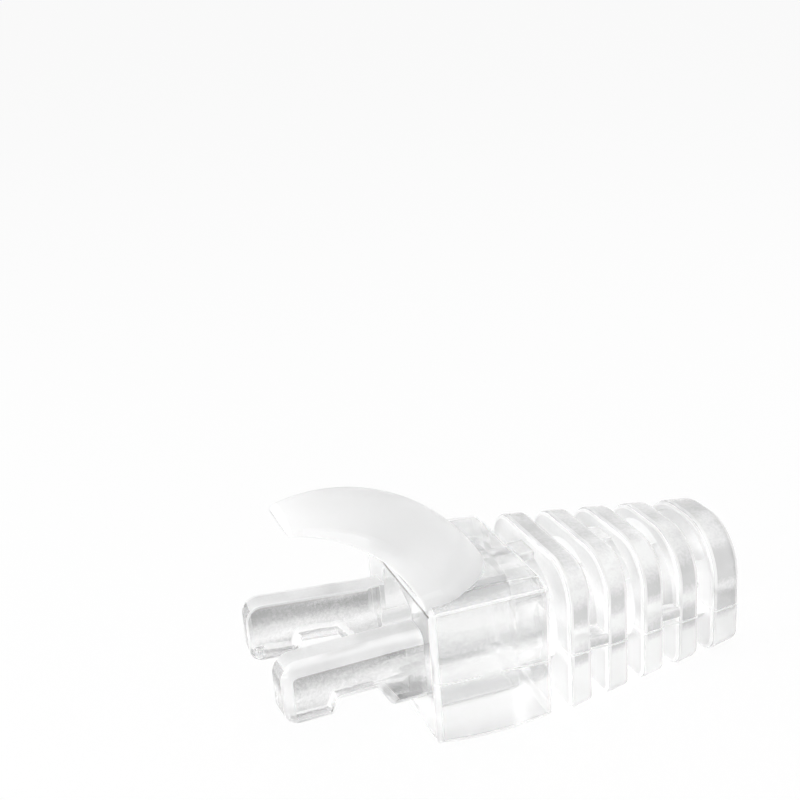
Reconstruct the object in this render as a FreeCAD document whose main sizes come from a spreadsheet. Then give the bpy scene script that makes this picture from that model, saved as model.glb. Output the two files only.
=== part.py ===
"""Clear strain relief boot for an 8-way modular plug: one soft moulding.

The frame: X runs along the cable and points away from the plug, Z points up to the latch guard,
and the origin lies on the cable axis, in the flat front face that meets the plug.
All lengths are millimetres.
"""
import FreeCAD, Part
import math
import os
import Sketcher

Vector = FreeCAD.Vector

# ---------------------------------------------------------------------------------------------
# Driving dimensions
# ---------------------------------------------------------------------------------------------
DIMENSIONS = {
    # housing: the square block behind the plug
    "housing_length": 9.3,
    "front_width": 13.4,
    "middle_width": 13.9,
    "rear_width": 13.2,
    "front_top": 5.8,
    "middle_top": 5.9,
    "rear_top": 5.5,
    "front_drop": 5.35,
    "base_drop": 5.65,
    "front_bevel": 0.7,
    "middle_bevel": 1.4,
    "rear_bevel": 1.6,
    # cable passage
    "bore_diameter": 6.0,
    "mouth_height": 9.2,
    "mouth_width": 5.8,
    "mouth_depth": 7.4,
    # prongs that reach into the plug beside the cable
    "prong_reach": 10.7,
    "prong_spread": 10.1,
    "prong_gap": 5.3,
    "prong_top": 3.1,
    "prong_nose": 1.5,
    "prong_root_drop": 2.2,
    "prong_notch_drop": 0.45,
    "hook_length": 3.5,
    "notch_end": 3.8,
    "notch_ramp": 1.1,
    "ledge_start": 1.7,
    "ledge_end": 1.0,
    "prong_shoulder": 0.9,
    "prong_nose_radius": 1.3,
    "hook_radius": 0.5,
    "chin_radius": 1.0,
    "prong_flare": 4.6,
    "prong_lift": 0.5,
    "nub_size": 0.8,
    # tapered sleeve with its ribs
    "first_rib": 10.75,
    "rib_pitch": 3.3,
    "rib_thickness": 2.0,
    "end_ring_start": 24.0,
    "end_ring_length": 2.6,
    "sleeve_width_front": 13.2,
    "sleeve_width_rear": 9.6,
    "sleeve_top_front": 5.9,
    "sleeve_top_rear": 4.9,
    "sleeve_drop": 5.85,
    "rib_crown_front": 3.0,
    "rib_crown_rear": 4.6,
    "rib_foot_front": 0.7,
    "rib_foot_rear": 2.0,
    "rib_rounding": 0.35,
    "rib_taper": 8.0,
    "core_diameter": 9.2,
    "bridge_drop": 0.75,
    "bridge_height": 0.95,
    "spine_width": 2.2,
    "spine_step": 0.8,
    "slot_span": 4.8,
    # latch guard: a hood between a lip arc below and a crown arc above
    "lip_centre_forward": 7.9,
    "lip_centre_height": 3.4,
    "lip_radius": 8.05,
    "lip_root_angle": 14.0,
    "lip_tip_angle": 92.5,
    "crown_centre_forward": 5.6,
    "crown_centre_drop": 1.1,
    "crown_radius": 14.0,
    "crown_root_angle": 27.5,
    "crown_tip_angle": 101.8,
    "guard_root_width": 12.0,
    "guard_neck_width": 13.9,
    "guard_tip_width": 4.7,
    "guard_root_leg": 1.9,
    "guard_tip_leg": 0.4,
    "guard_wall": 0.9,
    "web_thickness": 0.9,
    "web_spacing": 4.0,
}


class Size:
    """A length that knows both its value and the spreadsheet expression behind it."""

    def __init__(self, value, text):
        self.value = float(value)
        self.text = text

    @staticmethod
    def of(other):
        return other if isinstance(other, Size) else Size(other, repr(float(other)))

    def _join(self, other, sign, value):
        return Size(value, "(" + self.text + " " + sign + " " + Size.of(other).text + ")")

    def __add__(self, other):
        return self._join(other, "+", self.value + Size.of(other).value)

    def __sub__(self, other):
        return self._join(other, "-", self.value - Size.of(other).value)

    def __mul__(self, other):
        return self._join(other, "*", self.value * Size.of(other).value)

    def __truediv__(self, other):
        return self._join(other, "/", self.value / Size.of(other).value)

    def __neg__(self):
        return Size(-self.value, "(0 - " + self.text + ")")

    def __radd__(self, other):
        return Size.of(other) + self

    def __rsub__(self, other):
        return Size.of(other) - self

    def __rmul__(self, other):
        return Size.of(other) * self

    def root(self):
        return Size(math.sqrt(self.value), "sqrt(" + self.text + ")")

    def sine(self):
        return Size(math.sin(math.radians(self.value)), "sin(" + self.text + " * 1 deg)")

    def cosine(self):
        return Size(math.cos(math.radians(self.value)), "cos(" + self.text + " * 1 deg)")


ZERO = Size(0.0, "0")


def make_sheet(doc):
    """Write every driving dimension into its own aliased cell and return them as Size values."""
    sheet = doc.addObject("Spreadsheet::Sheet", "Sizes")
    sizes = {}
    for row, (name, number) in enumerate(DIMENSIONS.items(), start=1):
        sheet.set("A%d" % row, name)
        sheet.set("B%d" % row, str(number))
        sheet.setAlias("B%d" % row, name)
        sizes[name] = Size(number, "Sizes." + name)
    doc.recompute()
    return sizes


def blend(start, end, share):
    """The size that lies the given share of the way from start to end."""
    return start + (end - start) * share


# ---------------------------------------------------------------------------------------------
# Sketch helpers
# ---------------------------------------------------------------------------------------------
def new_sketch(body, name, role, offset=ZERO, turn=ZERO):
    """A sketch on one of the body's origin planes.

    It is moved along the plane's normal and turned about the plane's own upright axis.
    """
    plane = [item for item in body.Origin.OriginFeatures if item.Role == role][0]
    sketch = body.newObject("Sketcher::SketchObject", name)
    sketch.AttachmentSupport = [(plane, "")]
    sketch.MapMode = "FlatFace"
    upright = FreeCAD.Rotation(Vector(0, 1, 0), turn.value)
    sketch.AttachmentOffset = FreeCAD.Placement(Vector(0, 0, offset.value), upright)
    sketch.setExpression("AttachmentOffset.Base.z", offset.text)
    if turn.value:
        sketch.setExpression("AttachmentOffset.Rotation.Angle", "(" + turn.text + ") * 1 deg")
    return sketch


def bind(sketch, constraint, size):
    """Add a dimension to the sketch and tie it to the spreadsheet."""
    index = sketch.addConstraint(constraint)
    sketch.setExpression("Constraints[%d]" % index, size.text)


def arc_between(start, end, radius):
    """The circular arc that turns left from start to end, less than a half turn."""
    chord = end - start
    half = chord.Length / 2
    normal = Vector(-chord.y, chord.x, 0).normalize()
    rise = math.sqrt(max(radius * radius - half * half, 0.0))
    centre = start + chord * 0.5 + normal * rise
    first = math.atan2(start.y - centre.y, start.x - centre.x)
    last = math.atan2(end.y - centre.y, end.x - centre.x)
    if last < first:
        last += 2 * math.pi
    return Part.ArcOfCircle(Part.Circle(centre, Vector(0, 0, 1), radius), first, last)


def draw_outline(sketch, corners):
    """Close a counter-clockwise outline through the corners.

    A corner is (across, up) or (across, up, radius). With a radius the edge that leaves the
    corner is an arc that turns left; otherwise it is a straight line.
    """
    points = [Vector(corner[0].value, corner[1].value, 0) for corner in corners]
    first = sketch.GeometryCount
    count = len(corners)
    for place, corner in enumerate(corners):
        start = points[place]
        end = points[(place + 1) % count]
        if len(corner) == 3:
            sketch.addGeometry(arc_between(start, end, corner[2].value), False)
        else:
            sketch.addGeometry(Part.LineSegment(start, end), False)
    for place in range(count):
        edge = first + place
        following = first + (place + 1) % count
        sketch.addConstraint(Sketcher.Constraint("Coincident", edge, 2, following, 1))
    for place, corner in enumerate(corners):
        edge = first + place
        pin(sketch, "DistanceX", edge, corner[0])
        pin(sketch, "DistanceY", edge, corner[1])
        if len(corner) == 3:
            bind(sketch, Sketcher.Constraint("Radius", edge, corner[2].value), corner[2])


def pin(sketch, kind, edge, size):
    """Hold the start of an edge at a signed distance from the sketch's origin."""
    bind(sketch, Sketcher.Constraint(kind, -1, 1, edge, 1, size.value), size)


def draw_circle(sketch, diameter):
    """A circle of the given diameter about the sketch's origin."""
    circle = Part.Circle(Vector(0, 0, 0), Vector(0, 0, 1), diameter.value / 2)
    edge = sketch.addGeometry(circle, False)
    sketch.addConstraint(Sketcher.Constraint("Coincident", edge, 3, -1, 1))
    bind(sketch, Sketcher.Constraint("Diameter", edge, diameter.value), diameter)


# ---------------------------------------------------------------------------------------------
# Feature helpers
# ---------------------------------------------------------------------------------------------
def pad(body, name, sketch, length, midplane=False, taper=None):
    feature = body.newObject("PartDesign::Pad", name)
    feature.Profile = sketch
    feature.setExpression("Length", length.text)
    feature.Length = length.value
    feature.Midplane = midplane
    if taper is not None:
        feature.setExpression("TaperAngle", "(" + taper.text + ") * 1 deg")
        feature.TaperAngle = taper.value
    return feature


def pocket(body, name, sketch, length, reverse=False, midplane=False):
    feature = body.newObject("PartDesign::Pocket", name)
    feature.Profile = sketch
    feature.setExpression("Length", length.text)
    feature.Length = length.value
    feature.Reversed = reverse
    feature.Midplane = midplane
    return feature


def loft(body, kind, name, sections, ruled=False):
    feature = body.newObject("PartDesign::" + kind, name)
    feature.Profile = sections[0]
    feature.Sections = sections[1:]
    feature.Ruled = ruled
    return feature


def fillet(body, name, base, radius, chosen):
    """Round those edges of the last feature for which chosen(edge) holds."""
    base.Document.recompute()
    edges = ["Edge%d" % (place + 1) for place, edge in enumerate(base.Shape.Edges) if chosen(edge)]
    feature = body.newObject("PartDesign::Fillet", name)
    feature.Base = (base, edges)
    feature.setExpression("Radius", radius.text)
    feature.Radius = radius.value
    return feature


# ---------------------------------------------------------------------------------------------
# Housing
# ---------------------------------------------------------------------------------------------
def housing_outline(width, top, drop, bevel):
    """The block's section: square feet below and a bevel along each top edge."""
    side = width / 2
    return [
        (-side, -drop),
        (side, -drop),
        (side, top - bevel),
        (side - bevel, top),
        (bevel - side, top),
        (-side, top - bevel),
    ]


def build_housing(body, size):
    """The block swells from the front face and settles again before the sleeve."""
    stations = [
        (ZERO, "front", size["front_drop"]),
        (size["housing_length"] / 2, "middle", size["base_drop"]),
        (size["housing_length"], "rear", size["base_drop"]),
    ]
    sections = []
    for place, end, drop in stations:
        sketch = new_sketch(body, "Housing" + end.capitalize(), "YZ_Plane", place)
        outline = housing_outline(size[end + "_width"], size[end + "_top"], drop, size[end + "_bevel"])
        draw_outline(sketch, outline)
        sections.append(sketch)
    return loft(body, "AdditiveLoft", "Housing", sections)


# ---------------------------------------------------------------------------------------------
# Latch guard
# ---------------------------------------------------------------------------------------------
GUARD_STATIONS = (0.0, 0.12, 0.3, 0.5, 0.7, 0.87, 1.0)
CAVITY_STATIONS = (0.1, 0.2, 0.35, 0.5)


def guard_point(size, edge, share):
    """A point (x, z) on the lip arc or the crown arc, a share of the way from root to tip."""
    angle = blend(size[edge + "_root_angle"], size[edge + "_tip_angle"], share)
    if edge == "lip":
        height = size["lip_centre_height"]
    else:
        height = -size["crown_centre_drop"]
    forward = -size[edge + "_centre_forward"]
    radius = size[edge + "_radius"]
    return forward + radius * angle.cosine(), height + radius * angle.sine()


def guard_sketch(body, size, name, share):
    """A sketch in the plane that holds the lip line and the crown point of one station.

    The sketch's origin lies midway along the lip line, its first axis runs across the boot and
    its second axis points at the crown.
    """
    lip_x, lip_z = guard_point(size, "lip", share)
    crown_x, crown_z = guard_point(size, "crown", share)
    tilt = math.degrees(math.atan2(crown_z.value - lip_z.value, crown_x.value - lip_x.value))
    plane = [item for item in body.Origin.OriginFeatures if item.Role == "YZ_Plane"][0]
    sketch = body.newObject("Sketcher::SketchObject", name)
    sketch.AttachmentSupport = [(plane, "")]
    sketch.MapMode = "FlatFace"
    turn = FreeCAD.Rotation(Vector(1, 0, 0), 90 - tilt)
    sketch.AttachmentOffset = FreeCAD.Placement(Vector(0, lip_z.value, lip_x.value), turn)
    sketch.setExpression("AttachmentOffset.Base.y", lip_z.text)
    sketch.setExpression("AttachmentOffset.Base.z", lip_x.text)
    rise = (crown_z - lip_z).text
    run = (crown_x - lip_x).text
    sketch.setExpression("AttachmentOffset.Rotation.Angle", "90 deg - atan2(%s; %s)" % (rise, run))
    depth = ((crown_x - lip_x) * (crown_x - lip_x) + (crown_z - lip_z) * (crown_z - lip_z)).root()
    return sketch, depth


def arch_outline(width, foot, leg, depth):
    """An arch: a flat foot, two upright legs and a crown arc that meets the given depth."""
    side = width / 2
    rise = depth - leg
    radius = (side * side + rise * rise) / (rise * 2)
    return [
        (-side, foot),
        (side, foot),
        (side, leg, radius),
        (-side, leg),
    ]


def guard_width(size, share):
    """The hood narrows steadily to its tip, with a wide foot where it leaves the housing."""
    if share == 0.0:
        return size["guard_root_width"]
    return blend(size["guard_neck_width"], size["guard_tip_width"], share)


def build_guard(body, size):
    """The arched hood over the plug's latch, hollow at its root."""
    sections = []
    for number, share in enumerate(GUARD_STATIONS):
        sketch, depth = guard_sketch(body, size, "GuardSection%d" % number, share)
        leg = blend(size["guard_root_leg"], size["guard_tip_leg"], share)
        draw_outline(sketch, arch_outline(guard_width(size, share), ZERO, leg, depth))
        sections.append(sketch)
    loft(body, "AdditiveLoft", "Guard", sections)


def build_guard_cavity(body, size):
    """The open hollow under the hood; its roof closes on the lip halfway to the tip."""
    wall = size["guard_wall"]
    sections = []
    last = CAVITY_STATIONS[-1]
    for number, share in enumerate(CAVITY_STATIONS):
        sketch, depth = guard_sketch(body, size, "CavitySection%d" % number, share)
        leg = blend(size["guard_root_leg"], size["guard_tip_leg"], share)
        width = guard_width(size, share) - wall * 2
        fade = 1.0 - 0.8 * (share / last) ** 2
        draw_outline(sketch, arch_outline(width, -wall, leg * fade, (depth - wall) * fade))
        sections.append(sketch)
    loft(body, "SubtractiveLoft", "GuardCavity", sections)


def build_webs(body, size):
    """Two thin gussets that tie the hood's roof to the housing inside the hollow."""
    lip_x, lip_z = guard_point(size, "lip", 0.3)
    far_x, far_z = guard_point(size, "lip", 0.5)
    roof_x, roof_z = guard_point(size, "crown", 0.3)
    wall = size["guard_wall"]
    outline = [
        (wall / 2, size["front_top"] - wall),
        (roof_x - wall, size["front_top"] - wall),
        (roof_x - wall, roof_z - wall / 2),
        (far_x + wall / 2, far_z + wall / 3),
        (lip_x + wall / 2, lip_z + wall / 4),
    ]
    for side, name in ((1, "LeftWeb"), (-1, "RightWeb")):
        middle = size["web_spacing"] / 2 * side
        sketch = new_sketch(body, name + "Profile", "XZ_Plane", -middle)
        draw_outline(sketch, outline)
        pad(body, name, sketch, size["web_thickness"], midplane=True)


# ---------------------------------------------------------------------------------------------
# Prongs
# ---------------------------------------------------------------------------------------------
def prong_outline(size):
    """The side view of a prong: rounded nose, hook below it, notch, and a ramp to the root.

    The whole outline climbs steadily toward the nose.
    """
    tip = -size["prong_reach"]
    top = size["prong_top"]
    nose = size["prong_nose_radius"]
    chin = size["chin_radius"]
    hook_end = tip + size["hook_length"]
    notch_end = -size["notch_end"]
    level = [
        (tip, chin - size["prong_nose"], chin),
        (tip + chin, -size["prong_nose"]),
        (hook_end, -size["prong_nose"]),
        (hook_end + size["hook_radius"], -size["prong_notch_drop"]),
        (notch_end, -size["prong_notch_drop"]),
        (notch_end + size["notch_ramp"], -size["prong_root_drop"]),
        (size["guard_wall"], -size["prong_root_drop"]),
        (size["guard_wall"], top),
        (tip + nose, top, nose),
        (tip, top - nose),
    ]
    climb = size["prong_lift"] / size["prong_reach"]
    return [(corner[0], corner[1] - climb * corner[0]) + corner[2:] for corner in level]


def build_prongs(body, size):
    """Two mirrored prongs that spread toward the nose, broadly rounded along their outer edges."""
    thickness = (size["prong_spread"] - size["prong_gap"]) / 2
    middle = (size["prong_spread"] + size["prong_gap"]) / 4
    for side, name in ((1, "LeftProng"), (-1, "RightProng")):
        flare = size["prong_flare"] * -side
        sketch = new_sketch(body, name + "Profile", "XZ_Plane", middle * -side, flare)
        draw_outline(sketch, prong_outline(size))
        feature = pad(body, name, sketch, thickness, midplane=True)
        slope = math.tan(math.radians(size["prong_flare"].value))
        reach = thickness.value / 2 / math.cos(math.radians(size["prong_flare"].value))
        lowest = 0.5 - size["prong_notch_drop"].value

        def shoulder(edge, side=side, slope=slope, reach=reach, lowest=lowest, middle=middle.value):
            ends = [vertex.Point for vertex in edge.Vertexes]
            offsets = [abs(point.y) - middle + slope * point.x - reach for point in ends]
            outside = all(abs(offset) < 1e-3 for offset in offsets)
            outside = outside and all(point.y * side > 0 for point in ends)
            return outside and edge.CenterOfMass.x < 0 and edge.BoundBox.ZMax > lowest

        fillet(body, name + "Shoulder", feature, size["prong_shoulder"], shoulder)


def build_prong_relief(body, size):
    """The prongs' inner faces step back to the mouth's width just before the front face."""
    inner = size["prong_gap"] / 2
    mouth = size["mouth_width"] / 2
    start = -size["ledge_start"]
    end = -size["ledge_end"]
    sketch = new_sketch(body, "ProngReliefOutline", "XY_Plane")
    draw_outline(sketch, [
        (start, inner),
        (start, -inner),
        (end, -mouth),
        (ZERO, -mouth),
        (ZERO, mouth),
        (end, mouth),
    ])
    pocket(body, "ProngRelief", sketch, size["mouth_height"], midplane=True)


def build_nubs(body, size):
    """A small catch on the inner face of each prong, low on its nose."""
    nub = size["nub_size"]
    tip = -size["prong_reach"]
    flare = size["prong_flare"]
    inner = size["prong_gap"] / 2 + size["prong_reach"] * flare.sine() / flare.cosine() - nub / 8
    floor = nub / 2 + size["prong_lift"] - size["prong_nose"]
    for side, name in ((1, "LeftNub"), (-1, "RightNub")):
        corners = [
            (tip + nub / 2, inner - nub / 2),
            (tip + nub, inner - nub / 2),
            (tip + nub * 1.5, inner + nub / 4),
            (tip + nub / 4, inner + nub / 4),
        ]
        if side < 0:
            corners = [(corner[0], -corner[1]) for corner in corners][::-1]
        sketch = new_sketch(body, name + "Outline", "XY_Plane", floor)
        draw_outline(sketch, corners)
        pad(body, name, sketch, nub)


# ---------------------------------------------------------------------------------------------
# Sleeve
# ---------------------------------------------------------------------------------------------
def sleeve_share(size, place):
    """How far along the tapered sleeve a place on the cable axis lies, from 0 to 1."""
    start = size["first_rib"]
    end = size["end_ring_start"] + size["end_ring_length"]
    return (place - start) / (end - start)


def rib_outline(size, place):
    """The section at one place: tapered and well rounded above, level and squarer below."""
    share = sleeve_share(size, place)
    side = (blend(size["sleeve_width_front"], size["sleeve_width_rear"], share)) / 2
    top = blend(size["sleeve_top_front"], size["sleeve_top_rear"], share)
    base = -size["sleeve_drop"]
    crown = blend(size["rib_crown_front"], size["rib_crown_rear"], share)
    foot = blend(size["rib_foot_front"], size["rib_foot_rear"], share)
    return [
        (foot - side, base),
        (side - foot, base, foot),
        (side, base + foot),
        (side, top - crown, crown),
        (side - crown, top),
        (crown - side, top, crown),
        (-side, top - crown),
        (-side, base + foot, foot),
    ]


def ring_places(size):
    """Start and thickness of each rib, and last of the end ring."""
    places = []
    for number in range(4):
        places.append((size["first_rib"] + size["rib_pitch"] * number, size["rib_thickness"]))
    places.append((size["end_ring_start"], size["end_ring_length"]))
    return places


def build_sleeve(body, size):
    """A straight round core with tapered ribs around it, joined by bridges across the grooves."""
    start = size["housing_length"]
    core = new_sketch(body, "SleeveCoreOutline", "YZ_Plane", start)
    draw_circle(core, size["core_diameter"])
    core_end = size["end_ring_start"] + size["end_ring_length"] / 2
    pad(body, "SleeveCore", core, core_end - start)
    rings = ring_places(size)
    for number, (place, thickness) in enumerate(rings):
        sketch = new_sketch(body, "Rib%dOutline" % (number + 1), "YZ_Plane", place)
        draw_outline(sketch, rib_outline(size, place))
        rib = pad(body, "Rib%d" % (number + 1), sketch, thickness, taper=-size["rib_taper"])
        ends = (place.value, (place + thickness).value)
        reach = size["core_diameter"].value / 2

        def rim(edge, ends=ends, reach=reach):
            box = edge.BoundBox
            flat = box.XLength < 1e-4 and min(abs(box.XMin - end) for end in ends) < 1e-4
            far = math.hypot(edge.CenterOfMass.y, edge.CenterOfMass.z) > reach
            return flat and far

        fillet(body, "Rib%dRounding" % (number + 1), rib, size["rib_rounding"], rim)
    build_bridges(body, size, rings)


def bridge(body, name, size, start, end, corners):
    """One block across a groove, sunk a little into the rings at both ends."""
    sink = size["rib_rounding"] * 1.5
    sketch = new_sketch(body, name + "Outline", "YZ_Plane", start - sink)
    draw_outline(sketch, corners)
    pad(body, name, sketch, end - start + sink * 2)


def block(left, right, low, high):
    return [(left, low), (right, low), (right, high), (left, high)]


def build_bridges(body, size, rings):
    """Side bridges in every second groove, and a spine above and below in the others."""
    core = size["core_diameter"] / 2
    starts = [size["housing_length"]] + [place + thickness for place, thickness in rings[:-1]]
    for groove, start in enumerate(starts):
        end = rings[groove][0]
        share = sleeve_share(size, end)
        side = blend(size["sleeve_width_front"], size["sleeve_width_rear"], share) / 2
        top = blend(size["sleeve_top_front"], size["sleeve_top_rear"], share)
        if groove % 2:
            low = -size["bridge_drop"] - size["bridge_height"] / 2
            high = low + size["bridge_height"]
            inner = core * 0.8
            outer = side - size["rib_rounding"] / 4
            bridge(body, "Bridge%dLeft" % groove, size, start, end, block(inner, outer, low, high))
            bridge(body, "Bridge%dRight" % groove, size, start, end, block(-outer, -inner, low, high))
        else:
            reach = size["spine_width"] / 2
            step = size["spine_step"]
            bridge(body, "Spine%dTop" % groove, size, start, end,
                   block(-reach, reach, core * 0.8, top - step))
            bridge(body, "Spine%dBottom" % groove, size, start, end,
                   block(-reach, reach, step - size["sleeve_drop"], core * -0.8))


def build_slots(body, size):
    """Through slots in the core: left and right in the first groove, above and below in the next."""
    rings = ring_places(size)
    starts = [size["housing_length"]] + [place + thickness for place, thickness in rings[:-1]]
    half = size["slot_span"] / 2
    reach = size["core_diameter"] / 2
    bore = size["bore_diameter"] / 2
    inner = bore * 0.5
    for groove, start in enumerate(starts):
        end = rings[groove][0]
        sketch = new_sketch(body, "Slot%dOutline" % groove, "YZ_Plane", start)
        if groove % 2:
            draw_outline(sketch, block(-half, half, inner, reach + 0.1))
            draw_outline(sketch, block(-half, half, -reach - 0.1, -inner))
        else:
            draw_outline(sketch, block(inner, reach + 0.1, -half, half))
            draw_outline(sketch, block(-reach - 0.1, -inner, -half, half))
        pocket(body, "Slot%d" % groove, sketch, end - start, reverse=True)


# ---------------------------------------------------------------------------------------------
# Cable passage
# ---------------------------------------------------------------------------------------------
def build_passage(body, size):
    """The tall mouth in the front face and the round bore that grips the cable."""
    side = size["mouth_width"] / 2
    radius = size["mouth_height"] / 2
    shoulder = (radius * radius - side * side).root()
    mouth = new_sketch(body, "MouthOutline", "YZ_Plane")
    draw_outline(mouth, [
        (side, -shoulder),
        (side, shoulder, radius),
        (-side, shoulder),
        (-side, -shoulder, radius),
    ])
    pocket(body, "Mouth", mouth, size["mouth_depth"], reverse=True)
    bore = new_sketch(body, "BoreOutline", "YZ_Plane", -size["prong_reach"] - size["guard_wall"])
    draw_circle(bore, size["bore_diameter"])
    length = size["prong_reach"] + size["guard_wall"] * 2 + size["end_ring_start"] + size["end_ring_length"]
    pocket(body, "Bore", bore, length, reverse=True)


# ---------------------------------------------------------------------------------------------
# The boot
# ---------------------------------------------------------------------------------------------
def build_boot(doc, size):
    body = doc.addObject("PartDesign::Body", "Boot")
    body.Label = "strain_relief_boot"
    build_housing(body, size)
    build_guard(body, size)
    build_guard_cavity(body, size)
    build_webs(body, size)
    build_sleeve(body, size)
    build_slots(body, size)
    build_prongs(body, size)
    build_passage(body, size)
    build_prong_relief(body, size)
    build_nubs(body, size)
    return body


def check(doc, bodies):
    """Stop when any feature failed or a sub-part has no valid solid."""
    for item in doc.Objects:
        if "Invalid" in item.State or "Error" in item.State:
            raise RuntimeError("%s failed: %s" % (item.Name, item.State))
    for body in bodies:
        if body.Shape.isNull() or not body.Shape.isValid():
            raise RuntimeError("%s has no valid shape" % body.Label)
        if len(body.Shape.Solids) != 1:
            raise RuntimeError("%s is %d solids" % (body.Label, len(body.Shape.Solids)))


def main():
    doc = FreeCAD.newDocument("StrainReliefBoot")
    size = make_sheet(doc)
    boot = build_boot(doc, size)
    doc.recompute()
    check(doc, [boot])
    os.makedirs("parts", exist_ok=True)
    boot.Shape.exportStep("parts/" + boot.Label + ".step")
    box = boot.Shape.BoundBox
    print("%s: %.2f x %.2f x %.2f mm, volume %.1f mm3, %d faces" % (
        boot.Label, box.XLength, box.YLength, box.ZLength, boot.Shape.Volume, len(boot.Shape.Faces)))


main()
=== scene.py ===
"""Looks of a clear strain relief boot for an 8-way modular plug, dressed around its fixed frame.

Lengths are in millimetres and angles in degrees. The boot lies along X, with its front face at
zero and the cable's axis on X itself, and Z is up.
"""

import logging
import math
from dataclasses import dataclass, field
from enum import Enum

import bmesh
import bpy
import numpy as np
from mathutils import Matrix, Vector


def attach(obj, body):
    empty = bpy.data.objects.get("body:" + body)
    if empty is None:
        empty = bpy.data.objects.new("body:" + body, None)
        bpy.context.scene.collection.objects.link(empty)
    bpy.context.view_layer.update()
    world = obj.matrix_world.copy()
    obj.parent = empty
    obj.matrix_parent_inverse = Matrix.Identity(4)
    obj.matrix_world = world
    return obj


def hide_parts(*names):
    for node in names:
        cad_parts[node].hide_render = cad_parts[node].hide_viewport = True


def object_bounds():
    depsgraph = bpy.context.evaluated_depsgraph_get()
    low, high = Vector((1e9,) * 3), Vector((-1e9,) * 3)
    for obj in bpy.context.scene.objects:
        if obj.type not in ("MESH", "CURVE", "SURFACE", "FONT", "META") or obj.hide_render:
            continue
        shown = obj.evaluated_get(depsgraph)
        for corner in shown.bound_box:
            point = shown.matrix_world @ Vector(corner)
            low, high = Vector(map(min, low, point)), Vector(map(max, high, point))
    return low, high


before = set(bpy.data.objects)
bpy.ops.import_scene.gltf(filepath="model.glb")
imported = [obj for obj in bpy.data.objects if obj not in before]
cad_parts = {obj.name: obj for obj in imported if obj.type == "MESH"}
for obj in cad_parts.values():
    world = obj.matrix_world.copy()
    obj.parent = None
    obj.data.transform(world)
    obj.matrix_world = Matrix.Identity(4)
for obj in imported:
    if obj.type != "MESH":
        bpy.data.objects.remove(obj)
CAD_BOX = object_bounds()
log = logging.getLogger("strain_relief_boot")
MM = 0.001
SAME_POINT = 0.0005
TINY = 1e-6
QUARTER = math.pi / 2

Array = np.ndarray
Pair = tuple[float, float]
Triple = tuple[float, float, float]
Socket = bpy.types.NodeSocket


class Weld(Enum):
    """How a shape joins the moulding."""

    ADD = "UNION"
    CUT = "DIFFERENCE"


class Skin(Enum):
    """Which finish a shape's faces carry, in the order of the material slots."""

    CLEAR = 0
    FROSTED = 1
    POLISHED = 2
    MILKY = 3
    INNER = 4
    # A copy of the finishes with painted light and shade: light painted high up, grey painted shade low
    # down.
    PAINTED_LIGHT_FACING = 5


def joined(*parts: Array) -> Array:
    """Points from one array for each of their coordinates."""
    return np.stack(np.broadcast_arrays(*parts), axis=-1)


def show(item: bpy.types.Object) -> None:
    """Link an object to the scene."""
    bpy.context.scene.collection.objects.link(item)


def circle(diameter: float, points: int = 96) -> Array:
    """A circle about the origin, turning left."""
    turn = np.linspace(0.0, 2 * math.pi, points, endpoint=False)
    return joined(np.cos(turn), np.sin(turn)) * diameter / 2


def block(low: float, high: float, left: float, right: float) -> Array:
    """The four corners of an upright rectangle, turning left."""
    return np.array([(left, low), (right, low), (right, high), (left, high)])


def rounded_outline(corners: Array, radii: Array, steps: int = 7) -> tuple[Array, Array]:
    """Round the corners of a closed outline that turns left.

    Each corner becomes an arc tangent to both of its sides. The arc's point at turn a is the
    arc's centre plus its radius times the outward normal turned by a.

    Args:
        corners: Corner points, shape (..., corners, 2).
        radii: Radius at each corner.
        steps: Points on each arc.

    Returns:
        The outline's points and its outward normals, both of shape (..., corners * steps, 2).
    """
    corners = np.asarray(corners, dtype=float)
    radii = np.broadcast_to(np.asarray(radii, dtype=float), corners.shape[:-1])
    arriving = corners - np.roll(corners, 1, axis=-2)
    leaving = np.roll(corners, -1, axis=-2) - corners
    arriving /= np.linalg.norm(arriving, axis=-1, keepdims=True)
    leaving /= np.linalg.norm(leaving, axis=-1, keepdims=True)
    cross = arriving[..., 0] * leaving[..., 1] - arriving[..., 1] * leaving[..., 0]
    turn = np.arctan2(cross, (arriving * leaving).sum(axis=-1))
    side = np.where(turn < 0, -1.0, 1.0)
    start = corners - arriving * (radii * np.tan(np.abs(turn) / 2))[..., None]
    outward = joined(arriving[..., 1], -arriving[..., 0])
    centre = start - outward * (radii * side)[..., None]
    angle = turn[..., None] * np.linspace(0.0, 1.0, steps)
    cosine, sine = np.cos(angle), np.sin(angle)
    normals = joined(
        outward[..., 0, None] * cosine - outward[..., 1, None] * sine,
        outward[..., 0, None] * sine + outward[..., 1, None] * cosine,
    )
    points = centre[..., None, :] + normals * (radii * side)[..., None, None]
    shape = (*corners.shape[:-2], corners.shape[-2] * steps, 2)
    return points.reshape(shape), normals.reshape(shape)


def softened_run(length: float, soft: float, middle: int = 2, steps: int = 5) -> tuple[Array, Array]:
    """Stations along a bar whose end edges are quarter circles.

    At turn a from an end, the place is soft * (1 - cos a) and the inset is soft * (1 - sin a).

    Args:
        length: The bar's length.
        soft: Radius of the rounded end edges.
        middle: Stations on the straight part, its two ends included.
        steps: Stations on each quarter circle.

    Returns:
        The stations' places from 0 to length, and the inset of the outline at each.
    """
    turn = np.linspace(0.0, QUARTER, steps)
    place = soft * (1.0 - np.cos(turn))
    inset = soft * (1.0 - np.sin(turn))
    straight = np.linspace(soft, length - soft, middle)[1:-1]
    places = np.concatenate([place, straight, length - place[::-1]])
    insets = np.concatenate([inset, np.zeros(len(straight)), inset[::-1]])
    return places, insets


def drawn_in(outlines: Array, normals: Array, insets: Array) -> Array:
    """The outline of each station, drawn in along its normals by that station's inset."""
    return outlines - normals * insets[:, None, None]


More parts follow.
